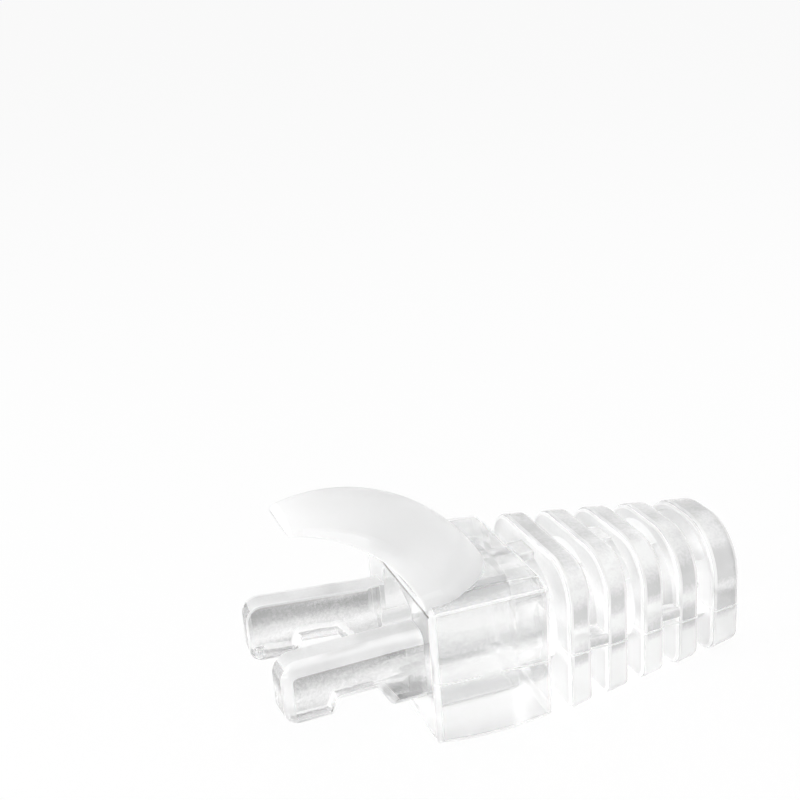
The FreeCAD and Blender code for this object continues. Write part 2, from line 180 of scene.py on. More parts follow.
def along_x(places: Array, outlines: Array) -> Array:
    """Stand (y, z) outlines up at their places along X, giving rings of (x, y, z) points."""
    return joined(places[:, None], outlines[..., 0], outlines[..., 1])


def mesh_values(
    items: bpy.types.bpy_prop_collection, name: str, width: int = 1, kind: type = np.float32
) -> Array:
    """Read one property of all faces, edges, corners or points of a mesh.

    Args:
        items: What to read.
        name: The property.
        width: Numbers in each item.
        kind: Their type.

    Returns:
        The values, with a row for each item if it has several.
    """
    values = np.empty(len(items) * width, dtype=kind)
    items.foreach_get(name, values)
    return values.reshape(-1, width) if width > 1 else values


@dataclass
class Shape:
    """One closed shape of the moulding, and how it joins the rest.

    A face whose normal goes along toward by more than least carries the painted_light_facing finish, if any:
    a copy with painted light and shade for faces turned that way.
    """

    name: str
    rings: Array
    weld: Weld = Weld.ADD
    skin: Skin = Skin.CLEAR
    painted_light_facing: Skin | None = None
    toward: Triple = (-1.0, 0.0, 0.0)
    least: float = 0.75

    def make(self) -> bpy.types.Object:
        """Close the rings into a shell with a flat face at each end, in metres.

        Returns:
            The shape's object, its faces pointing outwards.
        """
        rows, count = self.rings.shape[:2]
        start = np.arange(rows - 1)[:, None] * count
        column = np.arange(count)
        following = (column + 1) % count
        around = (start + column, start + following, start + count + following, start + count + column)
        quads = np.stack(around, axis=-1).reshape(-1, 4)
        caps = [list(range(count))[::-1], list(range((rows - 1) * count, rows * count))]
        mesh = bpy.data.meshes.new(self.name)
        mesh.from_pydata((self.rings.reshape(-1, 3) * MM).tolist(), [], quads.tolist() + caps)
        shell = bmesh.new()
        shell.from_mesh(mesh)
        bmesh.ops.remove_doubles(shell, verts=shell.verts, dist=SAME_POINT * MM)
        bmesh.ops.recalc_face_normals(shell, faces=shell.faces)
        shell.to_mesh(mesh)
        shell.free()
        for skin in Skin:
            mesh.materials.append(bpy.data.materials[skin.name.lower()])
        # Faces turned along toward take the copy of the finish with painted light and shade.
        painted_light_facing = mesh_values(mesh.polygons, "normal", 3) @ self.toward > self.least
        skins = np.where(painted_light_facing, (self.painted_light_facing or self.skin).value, self.skin.value)
        mesh.polygons.foreach_set("material_index", skins.astype(np.int32))
        return bpy.data.objects.new(self.name, mesh)


def bar_along_x(
    name: str, corners: Array, radius: float, run: Pair, soft: float, weld: Weld = Weld.ADD
) -> Shape:
    """A straight bar along X with a rounded outline and softened end edges.

    Args:
        name: The bar's name.
        corners: Its outline's corners (y, z), turning left.
        radius: Radius of those corners.
        run: Where it starts and ends along X.
        soft: Radius of its end edges.
        weld: Whether it is added or cut away.

    Returns:
        The bar.
    """
    places, insets = softened_run(run[1] - run[0], soft)
    skin = Skin.MILKY if weld is Weld.ADD else Skin.FROSTED
    outlines = drawn_in(*rounded_outline(corners, radius), insets)
    return Shape(name, along_x(run[0] + places, outlines), weld, skin)


@dataclass
class Housing:
    """The square block behind the plug, with its swelling sides and bevelled top edges.

    Three sizes in a row are those at the front, in the middle and at the rear.
    """

    length: float = 9.3
    widths: Triple = (13.4, 13.9, 13.2)
    tops: Triple = (5.8, 5.9, 5.5)
    drops: Triple = (5.35, 5.65, 5.65)
    bevel_drops: Triple = (0.52, 0.55, 0.5)
    bevel_reaches: Triple = (0.85, 1.45, 1.1)
    foot_round: float = 0.45
    bevel_round: float = 0.2
    edge: float = 0.4
    middle: int = 15

    def stations(self) -> tuple[Array, Array]:
        """The places of the block's outlines, and how far each is drawn in."""
        return softened_run(self.length, self.edge, self.middle)

    def swell(self, values: Triple, share: Array) -> Array:
        """The size at each share of the length, on the parabola through the three values."""
        front, middle, rear = values
        return (
            front * (1 - share) * (1 - 2 * share)
            + 4 * middle * share * (1 - share)
            + rear * share * (2 * share - 1)
        )

    def shapes(self) -> list[Shape]:
        """Build the block, one outline at each station from the front face to the rear.

        Returns:
            The block alone.
        """
        places, insets = self.stations()
        share = places / self.length
        side = self.swell(self.widths, share) / 2
        top = self.swell(self.tops, share)
        drop = self.swell(self.drops, share)
        lower = top - self.swell(self.bevel_drops, share)
        inner = side - self.swell(self.bevel_reaches, share)
        across = np.stack([-side, side, side, inner, -inner, -side], axis=1)
        upward = np.stack([-drop, -drop, lower, top, top, lower], axis=1)
        radii = np.array([self.foot_round] * 2 + [self.bevel_round] * 4)
        outlines = drawn_in(*rounded_outline(joined(across, upward), radii), insets)
        return [Shape("housing", along_x(places, outlines))]


@dataclass
class LatchGuard:
    """The arched hood over the plug's latch: a lip arc below, a crown arc above, hollow at its root.

    A share is how far along both arcs, from 0 at the root to 1 at the tip. Pairs of angles,
    legs and hollow are values at the two ends. Web_rises are how far above the lip line a
    gusset's edge stays, near the root and at the hollow's end.
    """

    lip_centre: Pair = (-7.9, 3.4)
    lip_radius: float = 8.05
    lip_angles: Pair = (14.0, 92.5)
    crown_centre: Pair = (-5.6, -1.1)
    crown_radius: float = 14.0
    crown_angles: Pair = (27.5, 101.8)
    root_width: float = 12.0
    root_share: float = 0.12
    neck_width: float = 13.9
    tip_width: float = 4.7
    legs: Pair = (1.9, 0.4)
    least_rise: float = 0.02
    wall: float = 0.9
    lip_soft: float = 0.16
    tip_soft: float = 0.3
    hollow: Pair = (0.1, 0.5)
    hollow_fall: float = 0.8
    web_thickness: float = 0.9
    web_spacing: float = 4.0
    web_foot: float = 4.9
    web_share: float = 0.3
    web_rises: Pair = (0.225, 0.3)
    web_soft: float = 0.12
    crown_points: int = 41
    corner_points: int = 5
    floor_points: int = 13
    tip_stations: int = 6
    hood_stations: int = 56
    hollow_stations: int = 24

    def arc_points(self, centre: Pair, radius: float, angles: Pair, share: Array) -> Array:
        """Points (x, z) on an arc, each the given share of the way from its root to its tip."""
        angle = np.radians(angles[0] + (angles[1] - angles[0]) * share)
        return joined(centre[0] + radius * np.cos(angle), centre[1] + radius * np.sin(angle))

    def lip(self, share: Array) -> Array:
        """The lip line's place at each share."""
        return self.arc_points(self.lip_centre, self.lip_radius, self.lip_angles, share)

    def crown(self, share: Array) -> Array:
        """The crown's place at each share."""
        return self.arc_points(self.crown_centre, self.crown_radius, self.crown_angles, share)

    def depth(self, share: Array) -> Array:
        """How far the crown stands from the lip line at each share."""
        return np.linalg.norm(self.crown(share) - self.lip(share), axis=-1)

    def leg(self, share: Array) -> Array:
        """How high the arch's legs stand at each share."""
        return self.legs[0] + (self.legs[1] - self.legs[0]) * share

    def width(self, share: Array) -> Array:
        """The hood's width: a steady taper, drawn in where it meets the housing."""
        steady = self.neck_width + (self.tip_width - self.neck_width) * share
        return np.minimum(
            steady, self.root_width + (steady - self.root_width) * np.clip(share / self.root_share, 0.0, 1.0)
        )

    def arch(self, width: Array, foot: Array, leg: Array, depth: Array) -> Array:
        """Draw arches (across, up): a flat foot with softened corners, two legs and a crown arc.

        The crown arc passes through both leg tops and the given depth above the foot line, so its
        radius is (side squared + rise squared) / (2 rise).

        Args:
            width: Width at each station.
            foot: Height of the foot.
            leg: Height of the leg tops.
            depth: Height of the crown.

        Returns:
            One outline for each station.
        """
        side, soft = width[:, None] / 2, self.lip_soft
        rise = np.maximum(depth - leg, self.least_rise)[:, None]
        radius = (side**2 + rise**2) / (2 * rise)
        sweep = np.linspace(1.0, -1.0, self.crown_points) * np.arctan2(side, radius - rise)
        crown = joined(radius * np.sin(sweep), depth[:, None] - radius + radius * np.cos(sweep))
        turn = np.linspace(0.0, QUARTER, self.corner_points)
        right = joined(side - soft + soft * np.sin(turn), foot[:, None] + soft - soft * np.cos(turn))
        left = right[:, ::-1] * (-1.0, 1.0)
        floor_y = np.linspace(-1.0, 1.0, self.floor_points)[1:-1] * (side - soft)
        return np.concatenate([joined(floor_y, foot[:, None]), right, crown, left], axis=1)

    def stand(self, share: Array, outlines: Array) -> Array:
        """Stand arches up on the lip line, each leaning toward its crown point.

        Args:
            share: The station of each arch.
            outlines: The arches (across, up).

        Returns:
            Rings of (x, y, z) points.
        """
        lip = self.lip(share)
        lean = self.crown(share) - lip
        lean /= np.linalg.norm(lean, axis=-1, keepdims=True)
        upright = lip[:, None] + outlines[..., 1:] * lean[:, None]
        return joined(upright[..., 0], outlines[..., 0], upright[..., 1])

    def hood(self) -> Shape:
        """Build the solid hood, its tip edge rounded by a quarter circle.

        An outline's outward normal is its tangent turned right.

        Returns:
            The hood.
        """
        path = self.lip_radius * math.radians(self.lip_angles[1] - self.lip_angles[0])
        turn = np.linspace(0.0, QUARTER, self.tip_stations)
        last = 1.0 - self.tip_soft / path * (1.0 - np.sin(turn))
        share = np.concatenate([np.linspace(0.0, last[0], self.hood_stations)[:-1], last])
        inset = np.concatenate([np.zeros(self.hood_stations - 1), self.tip_soft * (1.0 - np.cos(turn))])
        outlines = self.arch(self.width(share), np.zeros_like(share), self.leg(share), self.depth(share))
        tangent = np.roll(outlines, -1, axis=-2) - np.roll(outlines, 1, axis=-2)
        normal = joined(tangent[..., 1], -tangent[..., 0])
        normal /= np.linalg.norm(normal, axis=-1, keepdims=True)
        outlines = drawn_in(outlines, normal, inset)
        return Shape("latch_guard", self.stand(share, outlines), skin=Skin.FROSTED)

    def cavity(self) -> Shape:
        """Build the hollow under the hood, whose roof falls toward the lip line.

        Returns:
            The hollow, to be cut away.
        """
        share = np.linspace(*self.hollow, self.hollow_stations)
        fade = 1.0 - self.hollow_fall * (share / self.hollow[1]) ** 2
        width = self.width(share) - 2 * self.wall
        foot = np.full_like(share, -self.wall)
        outlines = self.arch(width, foot, self.leg(share) * fade, (self.depth(share) - self.wall) * fade)
        return Shape("guard_hollow", self.stand(share, outlines), Weld.CUT)

    def webs(self) -> list[Shape]:
        """Build two upright gussets inside the hollow, just behind the lip line.

        Returns:
            The left and the right gusset.
        """
        low, far = self.lip(np.array([self.web_share, self.hollow[1]]))
        roof = self.crown(np.array([self.web_share]))[0]
        inside, back = self.wall / 2, roof[0] - self.wall
        corners = [(inside, self.web_foot), (back, self.web_foot), (back, roof[1] - inside)]
        rises = (far[1] + self.web_rises[1], low[1] + self.web_rises[0])
        corners += [(far[0] + inside, rises[0]), (low[0] + inside, rises[1])]
        places, insets = softened_run(self.web_thickness, self.web_soft)
        flat = drawn_in(*rounded_outline(corners, self.web_soft), insets)
        across = [side * self.web_spacing / 2 - self.web_thickness / 2 + places for side in (1, -1)]
        return [
            Shape(name, joined(flat[..., 0], each[:, None], flat[..., 1]))
            for name, each in zip(("left_web", "right_web"), across)
        ]

    def shapes(self) -> list[Shape]:
        """The hood, its hollow and its gussets, in the order they join."""
        return [self.hood(), self.cavity(), *self.webs()]


@dataclass
class Prongs:
    """The two flat fingers that reach into the plug beside the cable.

    Rounds are a finger's corner radii in the side view, from the foot of its nose along the
    underside and back along the top. Nose_share is the nose's part of the shoulder's rounding.
    Nub_outline is a nub seen from above, as (back, out) from the nose and the inner face.
    """

    reach: float = 10.7
    spread: float = 10.1
    gap: float = 5.3
    top: float = 3.1
    nose_drop: float = 1.5
    notch_drop: float = 0.45
    root_drop: float = 2.2
    hook: float = 3.5
    hook_slope: float = 0.5
    notch_end: float = 3.8
    ramp: float = 1.1
    sink: float = 0.9
    flare: float = 4.6
    lift: float = 0.5
    rounds: tuple[float, ...] = (1.0, 0.3, 0.25, 0.25, 0.25, 0.1, 0.1, 1.3)
    shoulder: float = 0.85
    nose_share: float = 0.6
    belly: float = 0.45
    inner_edge: float = 0.16
    nub: float = 0.8
    nub_outline: tuple[Pair, ...] = ((0.4, -0.5), (0.8, -0.5), (1.2, 0.1), (0.2, 0.1))
    nub_round: float = 0.1
    ledge: Pair = (1.7, 1.0)
    ledge_round: float = 0.05
    mouth_width: float = 5.8
    mouth_height: float = 9.2
    corner_steps: int = 9
    outer_steps: int = 9
    inner_steps: int = 4

    def outline(self) -> tuple[Array, Array, Array]:
        """Draw the side view of a finger.

        Returns:
            Its points and normals, and the outer edge's rounding at each point.
        """
        hook_end = self.hook - self.reach
        corners = [(-self.reach, -self.nose_drop), (hook_end, -self.nose_drop)]
        corners += [(hook_end + self.hook_slope, -self.notch_drop), (-self.notch_end, -self.notch_drop)]
        corners += [(self.ramp - self.notch_end, -self.root_drop), (self.sink, -self.root_drop)]
        corners += [(self.sink, self.top), (-self.reach, self.top)]
        raised = np.array(corners)
        raised[:, 1] -= raised[:, 0] * self.lift / self.reach
        points, normals = rounded_outline(raised, self.rounds, self.corner_steps)
        lift = np.clip(normals[:, 1], 0.0, 1.0)
        ahead = np.clip(-normals[:, 0], 0.0, 1.0)
        rounding = self.belly + (self.shoulder - self.belly) * np.maximum(lift, ahead * self.nose_share)
        return points, normals, rounding

    def prong(self, side: int, name: str) -> Shape:
        """Carry the side view outwards, with a broad outer edge and a fine inner one.

        At depth d below a face, a point within its edge radius r of the face is drawn in by
        r - sqrt(r squared - (r - d) squared).

        Args:
            side: 1 for the left finger, -1 for the right.
            name: The finger's name.

        Returns:
            The finger.
        """
        points, normals, outer = self.outline()
        inner = np.full_like(outer, self.inner_edge)
        thickness = (self.spread - self.gap) / 2
        middle = (self.spread + self.gap) / 4
        below_outer = self.shoulder * (1.0 - np.cos(np.linspace(0.0, QUARTER, self.outer_steps)))
        below_inner = self.inner_edge * (1.0 - np.cos(np.linspace(0.0, QUARTER, self.inner_steps)))
        depth = np.concatenate([below_inner, thickness - below_outer[::-1]])
        inset = np.zeros((len(depth), len(points)))
        for face_depth, radius in ((depth, inner), (thickness - depth, outer)):
            left = np.clip(radius[None, :] - face_depth[:, None], 0.0, None)
            inset += radius - np.sqrt(np.maximum(radius**2 - left**2, 0.0))
        flat = points[None] - normals[None] * inset[..., None]
        cosine, sine = math.cos(math.radians(self.flare)), math.sin(math.radians(self.flare))
        out = depth[:, None] - thickness / 2
        along = flat[..., 0] * cosine + out * sine
        across = side * (middle - flat[..., 0] * sine + out * cosine)
        rings = joined(along, across, flat[..., 1])
        # Top faces take the copy of the finish with painted light and shade.
        return Shape(name, rings, skin=Skin.POLISHED, painted_light_facing=Skin.PAINTED_LIGHT_FACING, toward=(0.0, 0.0, 1.0))

    def catch(self, side: int, name: str) -> Shape:
        """Build the small nub low on a finger's inner face, beside its nose.

        Args:
            side: 1 for the left finger, -1 for the right.
            name: The nub's name.

        Returns:
            The nub.
        """
        inner = self.gap / 2 + self.reach * math.tan(math.radians(self.flare))
        corners = [(back - self.reach, inner + out) for back, out in self.nub_outline]
        places, insets = softened_run(self.nub, self.nub_round)
        flat = drawn_in(*rounded_outline(corners, self.nub_round), insets)
        upward = self.lift + self.nub / 2 - self.nose_drop + places
        return Shape(name, joined(flat[..., 0], flat[..., 1] * side, upward[:, None]))

    def relief(self) -> Shape:
        """Build the step that widens the gap to the mouth just before the front face.

        Returns:
            The step, to be cut away.
        """
        half, mouth, sink = self.gap / 2, self.mouth_width / 2, self.ledge_round
        start, full = self.ledge
        near = [(-start, -half), (-full, -mouth), (sink, -mouth)]
        corners = near + [(x, -y) for x, y in reversed(near)]
        outline = rounded_outline(corners, self.ledge_round, steps=3)[0]
        height = np.array([-self.mouth_height / 2, self.mouth_height / 2])
        return Shape("ledge_relief", joined(outline[:, 0], outline[:, 1], height[:, None]), Weld.CUT)

    def shapes(self) -> list[Shape]:
        """Both fingers, joined before the cable passage is cut."""
        return [self.prong(1, "left_prong"), self.prong(-1, "right_prong")]

    def late_shapes(self) -> list[Shape]:
        """The ledge and the nubs, which follow the cable passage."""
        return [self.relief(), self.catch(1, "left_nub"), self.catch(-1, "right_nub")]


@dataclass
class Sleeve:
    """The ribbed sleeve: a straight core, tapered ribs, and bridges or spines across the grooves.

    Pairs are values at the first rib and at the rear end. Tie_sink counts in roundings of the
    rims, and tie_root in core radii.
    """

    start: float = 9.3
    first_rib: float = 10.75
    ribs: int = 4
    pitch: float = 3.3
    thickness: float = 2.0
    ring_start: float = 24.0
    ring_length: float = 2.6
    widths: Pair = (13.2, 9.6)
    tops: Pair = (5.9, 4.9)
    drop: float = 5.85
    crowns: Pair = (3.0, 4.6)
    feet: Pair = (0.7, 2.0)
    rounding: float = 0.38
    taper: float = 8.0
    core_diameter: float = 9.2
    core_sink: float = 0.5
    bridge_drop: float = 0.75
    bridge_height: float = 0.95
    bridge_inset: float = 0.095
    spine_width: float = 2.2
    spine_step: float = 0.8
    tie_sink: float = 1.5
    tie_root: float = 0.8
    tie_round: float = 0.15
    tie_soft: float = 0.05
    slot_span: float = 4.8
    slot_start: float = 1.5
    slot_over: float = 0.1
    slot_round: float = 0.2
    slot_soft: float = 0.02
    corner_steps: int = 15
    rim_steps: int = 7

    def share(self, place: float) -> float:
        """How far along the sleeve a place lies, from 0 to 1."""
        return (place - self.first_rib) / (self.ring_start + self.ring_length - self.first_rib)

    def between(self, ends: Pair, place: float) -> float:
        """A size at a place, from its values at the sleeve's two ends."""
        return ends[0] + (ends[1] - ends[0]) * self.share(place)

    def rings(self) -> list[Pair]:
        """Start and thickness of each rib, and last of the end ring."""
        ribs = [(self.first_rib + self.pitch * number, self.thickness) for number in range(self.ribs)]
        return [*ribs, (self.ring_start, self.ring_length)]

    def stations(self, thickness: float) -> tuple[Array, Array]:
        """The places of a rib's outlines from its front, and how far its rims draw each in."""
        return softened_run(thickness, self.rounding, steps=self.rim_steps)

    def narrowing(self, places: Array) -> Array:
        """How far the taper draws a rib in at each place from its front."""
        return places * math.tan(math.radians(self.taper))

    def rib(self, number: int, ring: Pair) -> Shape:
        """Build a rib: its outline drawn in steadily toward the rear, with rounded rims.

        Args:
            number: Its number, from the front.
            ring: Its start and thickness.

        Returns:
            The rib.
        """
        place, thickness = ring
        side = self.between(self.widths, place) / 2
        corners = block(-self.drop, self.between(self.tops, place), -side, side)
        crown, foot = self.between(self.crowns, place), self.between(self.feet, place)
        outline = rounded_outline(corners, np.array([foot, foot, crown, crown]), self.corner_steps)
        places, insets = self.stations(thickness)
        rings = along_x(place + places, drawn_in(*outline, insets + self.narrowing(places)))
        # Front faces take the copy of the finish with painted light and shade.
        return Shape("rib_%d" % number, rings, skin=Skin.MILKY, painted_light_facing=Skin.PAINTED_LIGHT_FACING)

    def grooves(self) -> list[Pair]:
        """Start and end of each groove, the first one behind the housing."""
        starts = [self.start] + [place + thickness for place, thickness in self.rings()[:-1]]
        return [(start, ring[0]) for start, ring in zip(starts, self.rings())]

    def bridge_side(self, end: float) -> float:
        """Half the width across the side bridges of the groove that ends there."""
        return self.between(self.widths, end) / 2 - self.bridge_inset

    def ties(self, groove: int, run: Pair) -> list[Shape]:
        """Build what crosses a groove: side bridges in every second one, else two spines.

        Args:
            groove: The groove's number, from 0 at the housing.
            run: Where it starts and ends along X.

        Returns:
            The two bridges, or the spines above and below.
        """
        sink = self.rounding * self.tie_sink
        core = self.core_diameter / 2 * self.tie_root
        if groove % 2:
            side = self.bridge_side(run[1])
            below = -self.bridge_drop - self.bridge_height / 2
            above = below + self.bridge_height
            spots = {"left": block(below, above, core, side), "right": block(below, above, -side, -core)}
        else:
            half = self.spine_width / 2
            top = self.between(self.tops, run[1]) - self.spine_step
            bottom = self.drop - self.spine_step
            spots = {"top": block(core, top, -half, half), "bottom": block(-bottom, -core, -half, half)}
        sunken = (run[0] - sink, run[1] + sink)
        return [
            bar_along_x("tie_%d_%s" % (groove, word), spot, self.tie_round, sunken, self.tie_soft)
            for word, spot in spots.items()
        ]

    def slots(self, groove: int, run: Pair) -> list[Shape]:
        """Build the core's slots: above and below in every second groove, else at the sides.

        Args:
            groove: The groove's number, from 0 at the housing.
            run: Where it starts and ends along X.

        Returns:
            The two slots, to be cut away.
        """
        inner, outer = self.slot_start, self.core_diameter / 2 + self.slot_over
        half = self.slot_span / 2
        if groove % 2:
            spots = [block(inner, outer, -half, half), block(-outer, -inner, -half, half)]
        else:
            spots = [block(-half, half, inner, outer), block(-half, half, -outer, -inner)]
        return [
            bar_along_x("slot_%d_%d" % (groove, count), spot, self.slot_round, run, self.slot_soft, Weld.CUT)
            for count, spot in enumerate(spots)
        ]

    def shapes(self) -> list[Shape]:
        """Build the core, the ribs with their ties, and the slots.

        Returns:
            Them all, in the order they join.
        """
        places = np.array([self.start - self.core_sink, self.ring_start + self.ring_length / 2])
        core = along_x(places, np.stack([circle(self.core_diameter)] * 2))
        # The whole core carries painted light, as if lit from behind through the slots.
        made = [Shape("sleeve_core", core, skin=Skin.PAINTED_LIGHT_FACING)]
        made += [self.rib(number, ring) for number, ring in enumerate(self.rings(), start=1)]
        for parts in (self.ties, self.slots):
            for number, run in enumerate(self.grooves()):
                made += parts(number, run)
        return made


@dataclass
class PartingLine:
    """The fine fin that the two halves of the mould leave along both sides of the boot.

    It drops toward the rear, from height to height through the knots, and stays inside the
    boot's greatest width by the margin.
    """

    housing: Housing
    sleeve: Sleeve
    knots: tuple[float, ...] = (0.0, 4.0, 6.6, 9.3, 14.1, 20.7, 26.6)
    heights: tuple[float, ...] = (-0.31, -0.36, -0.55, -0.93, -1.33, -1.6, -1.85)
    proud: float = 0.06
    thickness: float = 0.2
    depth: float = 0.5
    front_depth: float = 1.5
    margin: float = 0.01

    def fins(self, name: str, places: Array, sides: Array, depth: float) -> list[Shape]:
        """Build a fin on each side along one stretch of the boot.

        Args:
            name: The stretch.
            places: Stations along X.
            sides: The boot's half width at each station.
            depth: How far the fin's root reaches inwards.

        Returns:
            The left and the right fin.
        """
        outer = np.minimum(sides + self.proud, CAD_BOX[1].y / MM - self.margin)
        height = np.interp(places, self.knots, self.heights)
        half = self.thickness / 2
        section = [(-depth, -half), (0.0, -half / 2), (0.0, half / 2), (-depth, half)]
        outlines = np.stack([joined(outer + y, height + z) for y, z in section], axis=1)
        mirrored = outlines[:, ::-1] * (-1.0, 1.0)
        return [
            Shape(name + word, along_x(places, each), skin=Skin.FROSTED)
            for word, each in (("_left", outlines), ("_right", mirrored))
        ]

    def shapes(self) -> list[Shape]:
        """Build the fins of the housing, the rings and the side bridges.

        Returns:
            Them all, in the order they join.
        """
        housing, sleeve = self.housing, self.sleeve
        places, insets = housing.stations()
        sides = housing.swell(housing.widths, places / housing.length) / 2 - insets
        made = self.fins("fin_housing", places, sides, self.depth)
        for number, (start, thickness) in enumerate(sleeve.rings(), start=1):
            places, insets = sleeve.stations(thickness)
            sides = sleeve.between(sleeve.widths, start) / 2 - insets - sleeve.narrowing(places)
            made += self.fins("fin_rib_%d" % number, start + places, sides, self.depth)
            front = np.array([start - self.proud, start + self.depth])
            edge = np.full(2, sides[0] - self.proud)
            made += self.fins("fin_front_%d" % number, front, edge, self.front_depth)
        for groove, (start, end) in enumerate(sleeve.grooves()):
            if groove % 2:
                reach = np.array([start - sleeve.rounding, end + sleeve.rounding])
                edge = np.full(2, sleeve.bridge_side(end))
                made += self.fins("fin_bridge_%d" % groove, reach, edge, self.depth)
        return made


@dataclass
class Passage:
    """The cable's way through: a tall mouth in the front face and a round bore behind it."""

    bore_diameter: float = 6.0
    mouth_width: float = 5.8
    mouth_height: float = 9.2
    mouth: Pair = (-0.001, 7.4)
    bore: Pair = (-12.0, 28.0)
    arc_points: int = 25

    def cut(self, name: str, run: Pair, outline: Array) -> Shape:
        """One straight length of the passage, cut away from start to end."""
        return Shape(name, along_x(np.array(run), np.stack([outline] * 2)), Weld.CUT, Skin.INNER)

    def shapes(self) -> list[Shape]:
        """Build the mouth, whose sides cut off its upper and lower arcs, and the bore.

        Returns:
            Both, in the order they are cut.
        """
        radius = self.mouth_height / 2
        reach = math.asin(self.mouth_width / 2 / radius)
        sweep = np.linspace(-reach, reach, self.arc_points)
        upper = joined(-np.sin(sweep), np.cos(sweep)) * radius
        mouth = self.cut("mouth", self.mouth, np.concatenate([upper, -upper]))
        return [mouth, self.cut("bore", self.bore, circle(self.bore_diameter))]


def mark_rims(
    mesh: bpy.types.Mesh, tight: float = 0.9, loose: float = 1.1, flat: float = 2.0, sharp: float = 50.0
) -> None:
    """Store on each face how far it belongs to a small rounded edge, as the attribute rim_highlight, the
    mask by which the finishes paint a highlight on such edges.

    Across an edge, the surface's radius is the mean width of its two faces, which is their area
    over the edge's length, over the angle between their normals. The highlight mask rises from 0
    to 1 as a face's smallest such radius goes from loose to tight.

    Args:
        mesh: A closed mesh, in which every edge has two faces.
        tight: Radius up to which a face is all rim.
        loose: Radius from which a face is plain.
        flat: Least bend of an edge that counts.
        sharp: Greatest bend of an edge that counts.
    """
    normals = mesh_values(mesh.polygons, "normal", 3)
    areas = mesh_values(mesh.polygons, "area") / MM**2
    corners = mesh_values(mesh.polygons, "loop_total", kind=np.int32)
    places = mesh_values(mesh.vertices, "co", 3) / MM
    ends = mesh_values(mesh.edges, "vertices", 2, np.int32)
    faces = np.repeat(np.arange(len(corners)), corners)
    edges = mesh_values(mesh.loops, "edge_index", kind=np.int32)
    pairs = faces[np.argsort(edges, kind="stable")].reshape(-1, 2)
    lengths = np.linalg.norm(places[ends[:, 1]] - places[ends[:, 0]], axis=1)
    widths = areas[pairs].mean(axis=1) / np.maximum(lengths, TINY)
    cosine = (normals[pairs[:, 0]] * normals[pairs[:, 1]]).sum(axis=1)
    bend = np.arccos(np.clip(cosine, -1.0, 1.0))
    radius = widths / np.maximum(bend, TINY)
    radius[(bend < math.radians(flat)) | (bend > math.radians(sharp))] = np.inf
    least = np.full(len(corners), np.inf)
    np.minimum.at(least, pairs.reshape(-1), np.repeat(radius, 2))
    # Painted highlight: how far each face is whitened as part of a small rounded edge.
    rim_highlight = np.clip((loose - least) / (loose - tight), 0.0, 1.0)
    mesh.attributes.new("rim_highlight", "FLOAT", "FACE").data.foreach_set("value", rim_highlight.astype(np.float32))


@dataclass
class Boot:
    """The whole moulding: every sub-assembly joined into one closed shell."""

    housing: Housing = field(default_factory=Housing)
    guard: LatchGuard = field(default_factory=LatchGuard)
    sleeve: Sleeve = field(default_factory=Sleeve)
    prongs: Prongs = field(default_factory=Prongs)
    passage: Passage = field(default_factory=Passage)
    crease: float = 32.0

    def shapes(self) -> list[Shape]:
        """List every shape.

        Returns:
            Them all, in the order they join or cut.
        """
        line = PartingLine(self.housing, self.sleeve)
        parts = (self.housing, self.guard, self.sleeve, line, self.prongs, self.passage)
        return [shape for part in parts for shape in part.shapes()] + self.prongs.late_shapes()

    def build(self) -> bpy.types.Object:
        """Join the shapes one after another and smooth all but the sharp creases.

        Returns:
            The moulding as one object.
        """
        first, *others = self.shapes()
        boot = first.make()
        boot.name = "boot_moulding"
        show(boot)
        tools = []
        for shape in others:
            tool = shape.make()
            show(tool)
            step = boot.modifiers.new(shape.name, "BOOLEAN")
            step.solver = "MANIFOLD"
            step.operation = shape.weld.value
            step.object = tool
            tools.append(tool)
            log.info("%s: %s, %d faces", shape.weld.name.lower(), shape.name, len(tool.data.polygons))
        whole = boot.evaluated_get(bpy.context.evaluated_depsgraph_get())
        mesh = bpy.data.meshes.new_from_object(whole)
        boot.modifiers.clear()
        boot.data = mesh
        for tool in tools:
            bpy.data.objects.remove(tool)
        mark_rims(mesh)
        mesh.shade_smooth()
        mesh.set_sharp_from_angle(angle=math.radians(self.crease))
        log.info("boot_moulding: %d faces, %d slots", len(mesh.polygons), len(mesh.materials))
        return boot


def grey(level: float) -> tuple[float, float, float, float]:
    """An even grey as a colour socket takes it."""
    return (level, level, level, 1.0)


class Board:
    """The nodes of one material or group, added and joined in one call each."""

    def __init__(self, tree: bpy.types.NodeTree) -> None:
        """Start from an empty tree."""
        self.tree = tree
        tree.nodes.clear()

    def add(self, kind: str, feeds: dict | None = None, **settings: object) -> bpy.types.Node:
        """Add a node and fill its inputs.

        Args:
            kind: The node's type, without the word ShaderNode in front.
            feeds: A value or another node's output for each input, by name or number.
            settings: Properties of the node.

        Returns:
            The new node.
        """
        node = self.tree.nodes.new(kind if kind.startswith("NodeGroup") else "ShaderNode" + kind)
        for name, value in settings.items():
            setattr(node, name, value)
        for name, value in (feeds or {}).items():
            if isinstance(value, Socket):
                self.tree.links.new(value, node.inputs[name])
            else:
                node.inputs[name].default_value = value
        return node

    def work(self, operation: str, *values: object, **settings: object) -> Socket:
        """The result of one Math node on values or outputs."""
        return self.add("Math", dict(enumerate(values)), operation=operation, **settings).outputs[0]

    def noise(self, place: object, scale: float, detail: float) -> Socket:
        """Noise at a place, with its scale per metre."""
        return self.add("TexNoise", {"Vector": place, "Scale": scale, "Detail": detail}).outputs[0]

    def ramp(
        self, value: Socket, low: object, high: object, start: float = 0.0, end: float = 1.0, **settings: str
    ) -> Socket:
        """A value's ramp from low at start to high at end, level beyond them."""
        ends = {"Value": value, "From Min": start, "From Max": end, "To Min": low, "To Max": high}
        return self.add("MapRange", ends, **settings).outputs[0]


